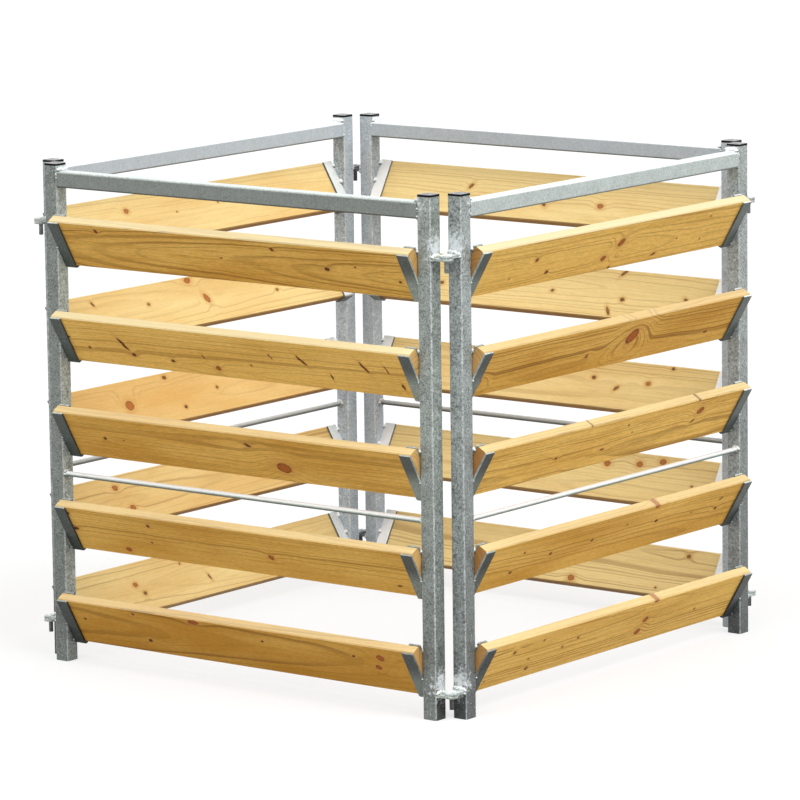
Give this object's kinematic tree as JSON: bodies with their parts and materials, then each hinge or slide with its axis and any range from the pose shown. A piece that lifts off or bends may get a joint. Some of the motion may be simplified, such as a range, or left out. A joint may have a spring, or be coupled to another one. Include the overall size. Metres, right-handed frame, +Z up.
{
  "type": "compost bin",
  "caption": "Square garden compost bin of hinged galvanised tube panels with sloping wooden slats that lift out of welded brackets.",
  "frame": {"origin": "centre of the square plan, on the ground plane under the posts' feet", "axes": "+Z up; the front panel faces -Y, the right panel +X, the back panel +Y and the left panel -X"},
  "size_m": [1.0378, 1.0378, 0.946],
  "materials": {
    "galvanised_tube": "hot-dip galvanised, dull with a faint spangle",
    "galvanised_bar": "hot-dip galvanised flat and round bar",
    "slat_wood": "planed softwood, oiled, knotty",
    "cap_plastic": "black moulded plastic"
  },
  "bodies": {
    "front_panel": {"front_left_post": "galvanised_tube", "front_right_post": "galvanised_tube", "front_top_rail": "galvanised_tube", "front_brace_rod": "galvanised_bar", "front_left_brackets": "galvanised_bar", "front_right_brackets": "galvanised_bar", "front_pin_lugs": "galvanised_bar", "front_hole_lugs": "galvanised_bar", "front_hinge_pins": "galvanised_bar", "front_end_caps": "cap_plastic"},
    "front_slat_1": {"front_slat_1": "slat_wood"},
    "front_slat_2": {"front_slat_2": "slat_wood"},
    "front_slat_3": {"front_slat_3": "slat_wood"},
    "front_slat_4": {"front_slat_4": "slat_wood"},
    "front_slat_5": {"front_slat_5": "slat_wood"},
    "right_panel": {"right_left_post": "galvanised_tube", "right_right_post": "galvanised_tube", "right_top_rail": "galvanised_tube", "right_brace_rod": "galvanised_bar", "right_left_brackets": "galvanised_bar", "right_right_brackets": "galvanised_bar", "right_pin_lugs": "galvanised_bar", "right_hole_lugs": "galvanised_bar", "right_hinge_pins": "galvanised_bar", "right_end_caps": "cap_plastic"},
    "right_slat_1": {"right_slat_1": "slat_wood"},
    "right_slat_2": {"right_slat_2": "slat_wood"},
    "right_slat_3": {"right_slat_3": "slat_wood"},
    "right_slat_4": {"right_slat_4": "slat_wood"},
    "right_slat_5": {"right_slat_5": "slat_wood"},
    "back_panel": {"back_left_post": "galvanised_tube", "back_right_post": "galvanised_tube", "back_top_rail": "galvanised_tube", "back_brace_rod": "galvanised_bar", "back_left_brackets": "galvanised_bar", "back_right_brackets": "galvanised_bar", "back_pin_lugs": "galvanised_bar", "back_hole_lugs": "galvanised_bar", "back_hinge_pins": "galvanised_bar", "back_end_caps": "cap_plastic"},
    "back_slat_1": {"back_slat_1": "slat_wood"},
    "back_slat_2": {"back_slat_2": "slat_wood"},
    "back_slat_3": {"back_slat_3": "slat_wood"},
    "back_slat_4": {"back_slat_4": "slat_wood"},
    "back_slat_5": {"back_slat_5": "slat_wood"},
    "left_panel": {"left_left_post": "galvanised_tube", "left_right_post": "galvanised_tube", "left_top_rail": "galvanised_tube", "left_brace_rod": "galvanised_bar", "left_left_brackets": "galvanised_bar", "left_right_brackets": "galvanised_bar", "left_pin_lugs": "galvanised_bar", "left_hole_lugs": "galvanised_bar", "left_hinge_pins": "galvanised_bar", "left_end_caps": "cap_plastic"},
    "left_slat_1": {"left_slat_1": "slat_wood"},
    "left_slat_2": {"left_slat_2": "slat_wood"},
    "left_slat_3": {"left_slat_3": "slat_wood"},
    "left_slat_4": {"left_slat_4": "slat_wood"},
    "left_slat_5": {"left_slat_5": "slat_wood"}
  },
  "joints": [
    {"name": "right_panel_hinge", "type": "hinge", "parent": "front_panel", "child": "right_panel", "pos_m": [0.475, -0.475, 0], "axis": [0, 0, 1], "range_deg": [-22, 22]},
    {"name": "left_panel_hinge", "type": "hinge", "parent": "front_panel", "child": "left_panel", "pos_m": [-0.475, -0.475, 0], "axis": [0, 0, 1], "range_deg": [-22, 22]},
    {"name": "back_panel_hinge", "type": "hinge", "parent": "right_panel", "child": "back_panel", "pos_m": [0.475, 0.475, 0], "axis": [0, 0, 1], "range_deg": [-22, 22]},
    {"name": "front_slat_1_lift", "type": "slide", "parent": "front_panel", "child": "front_slat_1", "axis": [0, -0.5, 0.866], "range_m": [0, 0.105]},
    {"name": "front_slat_2_lift", "type": "slide", "parent": "front_panel", "child": "front_slat_2", "axis": [0, -0.5, 0.866], "range_m": [0, 0.105]},
    {"name": "front_slat_3_lift", "type": "slide", "parent": "front_panel", "child": "front_slat_3", "axis": [0, -0.5, 0.866], "range_m": [0, 0.105]},
    {"name": "front_slat_4_lift", "type": "slide", "parent": "front_panel", "child": "front_slat_4", "axis": [0, -0.5, 0.866], "range_m": [0, 0.105]},
    {"name": "front_slat_5_lift", "type": "slide", "parent": "front_panel", "child": "front_slat_5", "axis": [0, -0.5, 0.866], "range_m": [0, 0.105]},
    {"name": "right_slat_1_lift", "type": "slide", "parent": "right_panel", "child": "right_slat_1", "axis": [0.5, 0, 0.866], "range_m": [0, 0.105]},
    {"name": "right_slat_2_lift", "type": "slide", "parent": "right_panel", "child": "right_slat_2", "axis": [0.5, 0, 0.866], "range_m": [0, 0.105]},
    {"name": "right_slat_3_lift", "type": "slide", "parent": "right_panel", "child": "right_slat_3", "axis": [0.5, 0, 0.866], "range_m": [0, 0.105]},
    {"name": "right_slat_4_lift", "type": "slide", "parent": "right_panel", "child": "right_slat_4", "axis": [0.5, 0, 0.866], "range_m": [0, 0.105]},
    {"name": "right_slat_5_lift", "type": "slide", "parent": "right_panel", "child": "right_slat_5", "axis": [0.5, 0, 0.866], "range_m": [0, 0.105]},
    {"name": "back_slat_1_lift", "type": "slide", "parent": "back_panel", "child": "back_slat_1", "axis": [0, 0.5, 0.866], "range_m": [0, 0.105]},
    {"name": "back_slat_2_lift", "type": "slide", "parent": "back_panel", "child": "back_slat_2", "axis": [0, 0.5, 0.866], "range_m": [0, 0.105]},
    {"name": "back_slat_3_lift", "type": "slide", "parent": "back_panel", "child": "back_slat_3", "axis": [0, 0.5, 0.866], "range_m": [0, 0.105]},
    {"name": "back_slat_4_lift", "type": "slide", "parent": "back_panel", "child": "back_slat_4", "axis": [0, 0.5, 0.866], "range_m": [0, 0.105]},
    {"name": "back_slat_5_lift", "type": "slide", "parent": "back_panel", "child": "back_slat_5", "axis": [0, 0.5, 0.866], "range_m": [0, 0.105]},
    {"name": "left_slat_1_lift", "type": "slide", "parent": "left_panel", "child": "left_slat_1", "axis": [-0.5, 0, 0.866], "range_m": [0, 0.105]},
    {"name": "left_slat_2_lift", "type": "slide", "parent": "left_panel", "child": "left_slat_2", "axis": [-0.5, 0, 0.866], "range_m": [0, 0.105]},
    {"name": "left_slat_3_lift", "type": "slide", "parent": "left_panel", "child": "left_slat_3", "axis": [-0.5, 0, 0.866], "range_m": [0, 0.105]},
    {"name": "left_slat_4_lift", "type": "slide", "parent": "left_panel", "child": "left_slat_4", "axis": [-0.5, 0, 0.866], "range_m": [0, 0.105]},
    {"name": "left_slat_5_lift", "type": "slide", "parent": "left_panel", "child": "left_slat_5", "axis": [-0.5, 0, 0.866], "range_m": [0, 0.105]}
  ],
  "couplings": [
    {"joint": "left_panel_hinge", "follows": "right_panel_hinge", "ratio": 1},
    {"joint": "back_panel_hinge", "follows": "right_panel_hinge", "ratio": -1}
  ]
}
